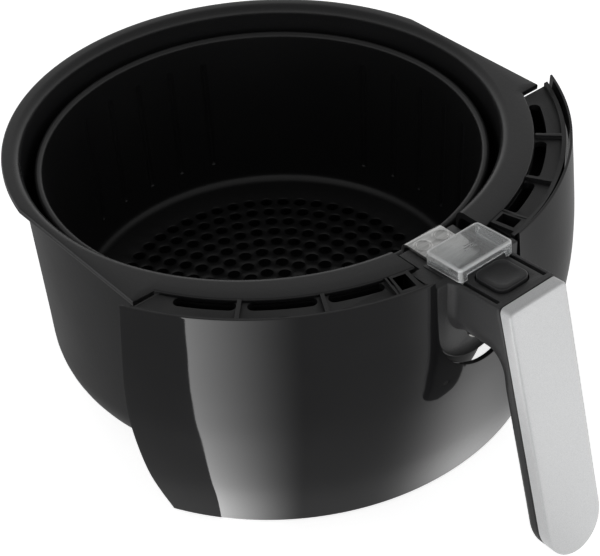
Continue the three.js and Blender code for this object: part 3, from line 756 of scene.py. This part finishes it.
def make_bottom_cover():
    shell = trim(handle_loft("bottom_cover"), cover_region("region", GAP))
    cut(shell, block("inside", -11, 11, SPLIT_FRONT_Y + 2.5, ROOT_FACE_Y - 2.5, 98.6, 150))
    x, y = COVER_SCREW
    for side in (-x, x):
        cut(shell, rod("seat", (side, y, 80), (side, y, 99.1), SCREW_HEAD_R + GAP),
            rod("bore", (side, y, 80), (side, y, 110), SCREW_R + GAP))
    return soften(shell, 0.25, 2, 50)


def cover_outline(inset):
    """Outline of the silver front, drawn upright, with its top corners and its round foot."""
    half, corner = ARM_X - inset, 2.4 - min(inset, 1.4)
    top = GRIP_TOP_Z - inset
    return (arc(half - corner, top - corner, corner, 0, 90, 6)
            + arc(-half + corner, top - corner, corner, 90, 180, 6)
            + [(-half, GRIP_FOOT_Z + (top - corner - GRIP_FOOT_Z) * k / 12) for k in range(11, 0, -1)]
            + arc(0, GRIP_FOOT_Z, half, 180, 360, 48)
            + [(half, GRIP_FOOT_Z + (top - corner - GRIP_FOOT_Z) * k / 12) for k in range(1, 12)])


def make_front_cover():
    edge = 1.1
    stages = [(12.0, 0.0), (6.0, 0.0), (3.0, 0.0)]
    stages += [(edge * (1 - math.sin(t)), edge * (1 - math.cos(t)))
               for t in (0.0, 0.26, 0.52, 0.79, 1.05, 1.31, 1.57)]
    stages += [(0.0, 3.0), (0.0, COVER_DEPTH - 0.4), (0.4, COVER_DEPTH), (COVER_WALL, COVER_DEPTH),
               (COVER_WALL, COVER_WALL), (8.0, COVER_WALL)]
    span = GRIP_TOP_Z - GRIP_FOOT_Z + ARM_X
    rows = []
    for inset, depth in stages:
        row = []
        for x, z in cover_outline(inset):
            drop = math.tan(TOP_TILT) * depth * (z - GRIP_FOOT_Z + ARM_X) / span
            row.append((x, grip_y(z, depth), z - drop))
        rows.append(row)
    cover = grid("front_cover", rows, close_columns=True)
    fill_poles(cover)
    return cover


def make_button():
    """A rounded square key with a shallow round dish in its top."""
    def ring(scale, z):
        return [(x * scale, BUTTON_Y + y * scale, z) for x, y in
                rounded_rect(0, 0, BUTTON_HALF, BUTTON_HALF, BUTTON_CORNER, 12)]
    rows = [ring(1, 121), ring(1, BUTTON_TOP_Z - 0.8)]
    rows += [ring(1 - 0.085 * (1 - math.cos(t)), BUTTON_TOP_Z - 0.8 + 0.8 * math.sin(t))
             for t in (0.4, 0.8, 1.2, 1.57)]
    dish_r = 7.4
    for k in range(1, 16):
        row = []
        for x, y, z in ring(0.9 * (1 - k / 15.5), BUTTON_TOP_Z):
            away = math.hypot(x, y - BUTTON_Y) / dish_r
            row.append((x, y, z - 0.75 * max(0.0, 1 - away * away)))
        rows.append(row)
    button = grid("button", rows, close_columns=True)
    fill_poles(button)
    unite(button, block("stem", -3, 3, BUTTON_Y - 3.5, BUTTON_Y, 115, 121.5))
    return tilt(button)


# ------------------------------------------------------------------ guard
def make_guard():
    """A low cover, open underneath and behind, with three ridges for the finger."""
    outline = rounded_rect(0, GUARD_MID_Y, GUARD_X, GUARD_HALF_Y, 2.2, 8)
    shell = prism("guard", outline, GUARD_LOW_Z, GUARD_TOP_Z)
    soften(shell, 0.7, 3, 50)
    inside_x = GUARD_X - GUARD_WALL
    inside_z = GUARD_TOP_Z - GUARD_WALL
    cut(shell, block("inside", -inside_x, inside_x, GUARD_FRONT_Y + 1.4, -100, 100, inside_z),
        block("mouth", -inside_x + 2.2, inside_x - 2.2, -200, -140, 100, GUARD_TOP_Z - 3.4))
    for k, reach in enumerate((3.4, 2.8, 1.6)):
        y = GUARD_MID_Y - 1.4 + 1.4 * k
        ridge = rod("ridge", (-reach, y, GUARD_TOP_Z - 0.2), (reach, y, GUARD_TOP_Z - 0.2), 0.5, 16)
        unite(shell, ridge)
    for x in (-GUIDE_X, GUIDE_X):
        foot = block("foot", x - 0.7, x + 0.7, GUARD_FRONT_Y + 1.5, GUARD_BACK_Y - 1.5,
                     TOP_Z - 1.5, TOP_Z + 2)
        unite(shell, foot)
    return tilt(shell)


# ------------------------------------------------------------------ screws
def screw_shape(length):
    """A pan-head screw along +Z: its seat at z = 0, its head below, a cross recess in the head."""
    profile = [(0.0, -SCREW_HEAD)]
    profile += [(SCREW_HEAD_R * math.sin(t), -0.7 - (SCREW_HEAD - 0.7) * math.cos(t))
                for t in (0.3, 0.6, 0.9, 1.2, 1.45)]
    profile += [(SCREW_HEAD_R, -0.5), (SCREW_HEAD_R, 0.0), (SCREW_R, 0.0)]
    turns = int((length - 1.5) / 0.8)
    for k in range(turns):
        profile += [(SCREW_R, 0.6 + 0.8 * k), (SCREW_R - 0.3, 1.0 + 0.8 * k)]
    profile += [(SCREW_R - 0.2, length - 0.8), (0.0, length)]
    shape = turned("screw_shape", profile, (0, 0, 0), 32)
    for wide_x, wide_y in ((1.5, 0.36), (0.36, 1.5)):
        cut(shape, block("recess", -wide_x, wide_x, -wide_y, wide_y, -SCREW_HEAD - 1, -0.75))
    mesh = shape.data
    bpy.data.objects.remove(shape)
    return mesh


def add_screw(name, seat, direction, shape, material):
    """A screw whose head sits on a point and whose shank runs along a direction."""
    mesh = shape.copy()
    turn = Vector(direction).to_track_quat("Z", "Y").to_matrix().to_4x4()
    mesh.transform(Matrix.Translation(Vector(seat) * MM) @ turn)
    piece = bpy.data.objects.new(name + "_fine", mesh)
    bpy.context.scene.collection.objects.link(piece)
    place(piece, "zinc_steel", material, name)


def add_screws(material):
    long_shape, short_shape = screw_shape(8.0), screw_shape(5.0)
    for name, angle in zip(("left_outer", "left_inner", "right_inner", "right_outer"), SCREW_ANGLES):
        seat = radial(angle, front_reach(angle, CARRIER_IN_R + WALL) + GAP, CARRIER_SCREW_Z)
        add_screw(f"carrier_screw_{name}", seat, radial(angle, -1, 0), long_shape, material)
    for side, sign in (("left", -1), ("right", 1)):
        x, z = KEEPER_SCREW
        add_screw(f"keeper_screw_{side}", (sign * x, KEEPER_Y - 1.5, z), (0, 1, 0), short_shape, material)
        x, y = BRACKET_SCREW
        seat = (sign * x, y, TONGUE_Z + SCREW_HEAD + GAP)
        add_screw(f"bracket_screw_{side}", seat, (0, 0, 1), short_shape, material)
        x, y = COVER_SCREW
        add_screw(f"cover_screw_{side}", (sign * x, y, 99.1), (0, 0, 1), long_shape, material)
    for name, z in GRIP_SCREW_Z.items():
        seat = (0, grip_y(z, GRIP_DEPTH - 2.4) + GAP, z)
        add_screw(f"grip_screw_{name}", seat, (0, -1, 0), long_shape, material)


# ------------------------------------------------------------------ materials
def new_material(name):
    material = bpy.data.materials.new(name)
    material.use_nodes = True
    nodes = material.node_tree.nodes
    return material, nodes, material.node_tree.links, nodes["Principled BSDF"]


def noise(nodes, links, scale, detail=3.0, stretch=(1, 1, 1)):
    """Noise in object space. Scale is in features per metre, and stretch draws the grain out."""
    place_node = nodes.new("ShaderNodeTexCoord")
    mapping = nodes.new("ShaderNodeMapping")
    mapping.inputs["Scale"].default_value = stretch
    texture = nodes.new("ShaderNodeTexNoise")
    texture.inputs["Scale"].default_value = scale
    texture.inputs["Detail"].default_value = detail
    links.new(place_node.outputs["Object"], mapping.inputs["Vector"])
    links.new(mapping.outputs["Vector"], texture.inputs["Vector"])
    return texture.outputs["Fac"]


def ramp(nodes, links, source, low, high, start=0.35, end=0.65):
    """Turns noise into a colour between two others."""
    node = nodes.new("ShaderNodeValToRGB")
    node.color_ramp.elements[0].position = start
    node.color_ramp.elements[0].color = (*low, 1)
    node.color_ramp.elements[1].position = end
    node.color_ramp.elements[1].color = (*high, 1)
    links.new(source, node.inputs["Fac"])
    return node.outputs["Color"]


def spread(nodes, links, source, low, high):
    """Turns noise into a number between two others."""
    node = nodes.new("ShaderNodeMapRange")
    node.inputs["From Min"].default_value = 0.3
    node.inputs["From Max"].default_value = 0.7
    node.inputs["To Min"].default_value = low
    node.inputs["To Max"].default_value = high
    links.new(source, node.inputs["Value"])
    return node.outputs["Result"]


def bump(nodes, links, height, strength, distance, under=None):
    node = nodes.new("ShaderNodeBump")
    node.inputs["Strength"].default_value = strength
    node.inputs["Distance"].default_value = distance
    links.new(height, node.inputs["Height"])
    if under is not None:
        links.new(under, node.inputs["Normal"])
    return node.outputs["Normal"]


def coating(name, dark, light, rough, peel):
    """Baked non-stick coating: orange peel, fine speckle and a few rubbed places."""
    material, nodes, links, shader = new_material(name)
    speckle = noise(nodes, links, 2600, 2)
    waves = noise(nodes, links, 420, 2)
    patches = noise(nodes, links, 16, 4)
    shader.inputs["Specular IOR Level"].default_value = 0.5
    links.new(ramp(nodes, links, speckle, dark, light, 0.45, 0.72), shader.inputs["Base Color"])
    links.new(spread(nodes, links, patches, rough - 0.05, rough + 0.06), shader.inputs["Roughness"])
    peeled = bump(nodes, links, waves, peel, 0.0004)
    links.new(bump(nodes, links, speckle, 0.12, 0.0001, peeled), shader.inputs["Normal"])
    return material


def gloss_plastic():
    """Polished black plastic with a trace of moulding waviness and handling haze."""
    material, nodes, links, shader = new_material("gloss_black_plastic")
    haze = noise(nodes, links, 22, 5)
    fine = noise(nodes, links, 900, 2)
    shader.inputs["Specular IOR Level"].default_value = 0.5
    colour = ramp(nodes, links, haze, (0.0065, 0.0065, 0.0070), (0.0095, 0.0095, 0.0100))
    links.new(colour, shader.inputs["Base Color"])
    links.new(spread(nodes, links, haze, 0.035, 0.075), shader.inputs["Roughness"])
    links.new(bump(nodes, links, fine, 0.02, 0.0001), shader.inputs["Normal"])
    return material


def matte_plastic(name, dark, light, rough, grain):
    """Fine spark-eroded plastic, slightly polished where hands and edges rub."""
    material, nodes, links, shader = new_material(name)
    texture = noise(nodes, links, grain, 3)
    patches = noise(nodes, links, 30, 4)
    links.new(ramp(nodes, links, texture, dark, light), shader.inputs["Base Color"])
    links.new(spread(nodes, links, patches, rough - 0.07, rough + 0.07), shader.inputs["Roughness"])
    links.new(bump(nodes, links, texture, 0.3, 0.00018), shader.inputs["Normal"])
    return material


def brushed_steel(name, dark, light, rough, stretch):
    """Steel with a drawn-out grain along one direction."""
    material, nodes, links, shader = new_material(name)
    grain = noise(nodes, links, 900, 4, stretch)
    patches = noise(nodes, links, 60, 3)
    shader.inputs["Metallic"].default_value = 1.0
    links.new(ramp(nodes, links, grain, dark, light), shader.inputs["Base Color"])
    links.new(spread(nodes, links, patches, rough - 0.06, rough + 0.08), shader.inputs["Roughness"])
    links.new(bump(nodes, links, grain, 0.15, 0.0001), shader.inputs["Normal"])
    return material


def silver_paint():
    """Metallic paint: tiny flakes, orange peel and a soft sheen."""
    material, nodes, links, shader = new_material("silver_paint_flake")
    flakes = noise(nodes, links, 3800, 1)
    peel = noise(nodes, links, 520, 2)
    patches = noise(nodes, links, 14, 3)
    shader.inputs["Metallic"].default_value = 0.25
    shader.inputs["Coat Weight"].default_value = 0.15
    shader.inputs["Coat Roughness"].default_value = 0.2
    colour = ramp(nodes, links, flakes, (0.62, 0.625, 0.63), (0.74, 0.745, 0.75))
    links.new(colour, shader.inputs["Base Color"])
    links.new(spread(nodes, links, patches, 0.36, 0.44), shader.inputs["Roughness"])
    flaked = bump(nodes, links, flakes, 0.25, 0.00008)
    links.new(bump(nodes, links, peel, 0.08, 0.0002, flaked), shader.inputs["Normal"])
    return material


def edge_band(nodes, links, axis, centre, half, band):
    """Rises from 0 to 1 over a band at both ends of the guard, along one axis. Sizes in millimetres."""
    place_node = nodes.new("ShaderNodeTexCoord")
    level = nodes.new("ShaderNodeMapping")
    pivot = Vector((0, ROOT_FACE_Y, TOP_Z)) * MM
    level.inputs["Rotation"].default_value = (TOP_TILT, 0, 0)
    level.inputs["Location"].default_value = pivot - Matrix.Rotation(TOP_TILT, 3, "X") @ pivot
    split = nodes.new("ShaderNodeSeparateXYZ")
    away = nodes.new("ShaderNodeMath")
    away.operation = "SUBTRACT"
    away.inputs[1].default_value = centre * MM
    size = nodes.new("ShaderNodeMath")
    size.operation = "ABSOLUTE"
    rise = nodes.new("ShaderNodeMapRange")
    rise.inputs["From Min"].default_value = (half - band) * MM
    rise.inputs["From Max"].default_value = half * MM
    links.new(place_node.outputs["Object"], level.inputs["Vector"])
    links.new(level.outputs["Vector"], split.inputs["Vector"])
    links.new(split.outputs[axis], away.inputs[0])
    links.new(away.outputs["Value"], size.inputs[0])
    links.new(size.outputs["Value"], rise.inputs["Value"])
    return rise.outputs["Result"]


def clear_plastic():
    """Clear plastic with faint flow lines and hairline scratches. Its edges carry a painted highlight: they
    transmit less and show white, standing in for the light that the edges catch.
    """
    material, nodes, links, shader = new_material("clear_guard_plastic")
    flow = noise(nodes, links, 260, 3, (1, 0.25, 1))
    scratches = noise(nodes, links, 1400, 2, (0.08, 1, 1))
    mid_z = (GUARD_TOP_Z + GUARD_LOW_Z) / 2
    # Painted highlight: these bands mark the guard's edges, which are made less clear and whiter to stand
    # in for light caught in the edges.
    across = edge_band(nodes, links, "X", 0, GUARD_X, 1.8)
    along = edge_band(nodes, links, "Y", GUARD_MID_Y, GUARD_HALF_Y, 2.0)
    upright = edge_band(nodes, links, "Z", mid_z, GUARD_TOP_Z - mid_z, 1.3)
    sides = nodes.new("ShaderNodeMath")
    edges = nodes.new("ShaderNodeMath")
    links.new(across, sides.inputs[0])
    links.new(along, sides.inputs[1])
    links.new(sides.outputs["Value"], edges.inputs[0])
    links.new(upright, edges.inputs[1])
    # Transmission drops over the edge bands, which paints the highlight along the edges.
    clear = nodes.new("ShaderNodeMapRange")
    clear.inputs["From Min"].default_value = 1.0
    clear.inputs["From Max"].default_value = 1.8
    clear.inputs["To Min"].default_value = 0.88
    clear.inputs["To Max"].default_value = 0.15
    links.new(edges.outputs["Value"], clear.inputs["Value"])
    links.new(clear.outputs["Result"], shader.inputs["Transmission Weight"])
    shader.inputs["IOR"].default_value = 1.49
    links.new(ramp(nodes, links, flow, (0.90, 0.92, 0.93), (0.97, 0.98, 0.98)), shader.inputs["Base Color"])
    links.new(spread(nodes, links, scratches, 0.04, 0.16), shader.inputs["Roughness"])
    links.new(bump(nodes, links, flow, 0.06, 0.0002), shader.inputs["Normal"])
    return material


# ------------------------------------------------------------------ the object
def add_pieces():
    pan_coat = coating("pan_coating_fine", (0.010, 0.010, 0.0105), (0.021, 0.021, 0.022), 0.32, 0.10)
    basket_coat = coating("basket_coating_fine", (0.008, 0.008, 0.0084), (0.016, 0.016, 0.0165), 0.34, 0.10)
    gloss = gloss_plastic()
    matte = matte_plastic("matte_black_plastic", (0.022, 0.022, 0.023), (0.036, 0.036, 0.037), 0.46, 1500)
    carrier_plastic = matte_plastic("carrier_black_plastic", (0.003, 0.003, 0.0034), (0.007, 0.007, 0.0075),
                                    0.50, 1500)
    key_plastic = matte_plastic("button_plastic", (0.010, 0.010, 0.011), (0.016, 0.016, 0.017), 0.40, 1900)
    bracket_steel = brushed_steel("bracket_brushed_steel", (0.52, 0.52, 0.51), (0.72, 0.72, 0.71), 0.30,
                                  (0.1, 1, 1))
    zinc = brushed_steel("zinc_plated_steel", (0.50, 0.50, 0.48), (0.68, 0.67, 0.65), 0.34, (1, 1, 0.3))

    place(make_pan(), "pan_coating", pan_coat, "pan_shell")
    place(make_fascia(), "gloss_black", gloss, "front_fascia")
    place(make_carrier(), "matte_black", carrier_plastic, "front_carrier")
    place(make_bowl(), "basket_coating", basket_coat, "basket_bowl", angle=50)
    place(make_bracket(), "bracket_steel", bracket_steel, "handle_bracket")
    place(make_handle(), "matte_black", matte, "handle_body")
    place(make_bottom_cover(), "matte_black", matte, "arm_bottom_cover")
    place(make_front_cover(), "silver_paint", silver_paint(), "handle_front_cover")
    place(make_button(), "button_black", key_plastic, "release_button")
    place(make_guard(), "clear_plastic", clear_plastic(), "button_guard")
    add_screws(zinc)
    kept = {"latch_keeper": zinc, "latch_pin": zinc, "button_spring": zinc, "latch_lever": matte}
    for node, material in kept.items():
        obj = frame["nodes"][node]
        obj.data.materials.clear()
        obj.data.materials.append(material)


# ------------------------------------------------------------------ studio
FLOOR_GLOW = 0.80
CARD_CENTRE = Vector((-0.049, -0.066, 0.0006))
CARD_REACH = 0.6
CARD_GLOW = 0.25
BAND_GLOW = 3.5
BAND_START = 199.8
BAND_SWEEP = 41.0
FRONT_GLOW = 1.1
FRONT_ANGLE = 304.0
FRONT_SPREAD = 17.0
CARD_STEPS = 360
SKY = ((0.0, 0.95), (0.18, 0.85), (0.5, 0.42), (1.0, 0.25))
CAMERA_PLACE = (-0.3617, -0.4912, 0.5255)
CAMERA_AZIMUTH = math.radians(-37.71)
CAMERA_ELEVATION = math.radians(38.85)
CAMERA_ROLL = math.radians(-3.52)
CAMERA_LENS = 93.8


def add_floor_sheet():
    size = 4.0
    corners = [(-size, -size, 0), (size, -size, 0), (size, size, 0), (-size, size, 0)]
    mesh = bpy.data.meshes.new("floor_sheet")
    mesh.from_pydata(corners, [], [(0, 1, 2, 3)])
    floor = bpy.data.objects.new("floor_sheet", mesh)
    bpy.context.scene.collection.objects.link(floor)
    material, nodes, links, shader = new_material("studio_paper")
    paper = noise(nodes, links, 300, 3)
    colour = ramp(nodes, links, paper, (0.93, 0.93, 0.93), (0.96, 0.96, 0.96))
    links.new(colour, shader.inputs["Base Color"])
    links.new(spread(nodes, links, paper, 0.85, 0.95), shader.inputs["Roughness"])
    links.new(bump(nodes, links, paper, 0.05, 0.0002), shader.inputs["Normal"])
    shader.inputs["Emission Color"].default_value = (1, 1, 1, 1)
    shader.inputs["Emission Strength"].default_value = FLOOR_GLOW
    mesh.materials.append(material)


def card_glow(angle):
    """Brightness in a direction: dim, with a soft patch ahead and a band that fades to one side."""
    along = (angle - BAND_START) / BAND_SWEEP
    band = (1 - along) ** 1.5 if 0 <= along < 1 else 0.0
    front = math.exp(-((angle - FRONT_ANGLE) / FRONT_SPREAD) ** 2)
    return CARD_GLOW + BAND_GLOW * band + FRONT_GLOW * front


def add_reflector():
    """A card lying round the object. Only glossy surfaces see it."""
    angles = [360 * i / CARD_STEPS for i in range(CARD_STEPS + 1)]
    points = [CARD_CENTRE]
    for angle in angles:
        a = math.radians(angle)
        points.append(CARD_CENTRE + Vector((math.cos(a), math.sin(a), 0)) * CARD_REACH)
    mesh = bpy.data.meshes.new("reflector_card")
    mesh.from_pydata(points, [], [(0, i + 1, i + 2) for i in range(CARD_STEPS)])
    strength = mesh.attributes.new("glow", "FLOAT", "FACE")
    for face, angle in zip(strength.data, angles):
        face.value = card_glow(angle)
    card = bpy.data.objects.new("reflector_card", mesh)
    bpy.context.scene.collection.objects.link(card)
    material = bpy.data.materials.new("reflector_light")
    material.use_nodes = True
    nodes, links = material.node_tree.nodes, material.node_tree.links
    glow = nodes.new("ShaderNodeAttribute")
    glow.attribute_name = "glow"
    lamp = nodes.new("ShaderNodeEmission")
    links.new(glow.outputs["Fac"], lamp.inputs["Strength"])
    links.new(lamp.outputs["Emission"], nodes["Material Output"].inputs["Surface"])
    mesh.materials.append(material)
    card.visible_camera = False
    card.visible_diffuse = False
    card.visible_shadow = False
    card.visible_transmission = False


def add_light():
    """White studio walls that darken towards the ceiling."""
    world = bpy.data.worlds.new("studio")
    world.use_nodes = True
    nodes, links = world.node_tree.nodes, world.node_tree.links
    direction = nodes.new("ShaderNodeTexCoord")
    split = nodes.new("ShaderNodeSeparateXYZ")
    height = nodes.new("ShaderNodeValToRGB")
    stops = height.color_ramp.elements
    for position, _ in SKY[1:-1]:
        stops.new(position)
    for stop, (_, value) in zip(stops, SKY):
        stop.color = (value, value, value, 1)
    links.new(direction.outputs["Generated"], split.inputs["Vector"])
    links.new(split.outputs["Z"], height.inputs["Fac"])
    links.new(height.outputs["Color"], nodes["Background"].inputs["Color"])
    bpy.context.scene.world = world
    bpy.context.scene.view_settings.view_transform = "Standard"


def add_camera():
    tilt_cos = math.cos(CAMERA_ELEVATION)
    right = Vector((math.cos(CAMERA_AZIMUTH), math.sin(CAMERA_AZIMUTH), 0))
    back = Vector((math.sin(CAMERA_AZIMUTH) * tilt_cos, -math.cos(CAMERA_AZIMUTH) * tilt_cos,
                   math.sin(CAMERA_ELEVATION)))
    up = back.cross(right)
    side = math.cos(CAMERA_ROLL) * right + math.sin(CAMERA_ROLL) * up
    top = -math.sin(CAMERA_ROLL) * right + math.cos(CAMERA_ROLL) * up
    data = bpy.data.cameras.new("camera")
    data.lens = CAMERA_LENS
    data.sensor_width = 36
    camera = bpy.data.objects.new("camera", data)
    turn = Matrix((side, top, back)).transposed().to_4x4()
    camera.matrix_world = Matrix.Translation(CAMERA_PLACE) @ turn
    bpy.context.scene.collection.objects.link(camera)
    bpy.context.scene.camera = camera


add_pieces()
add_floor_sheet()
add_reflector()
add_light()
add_camera()
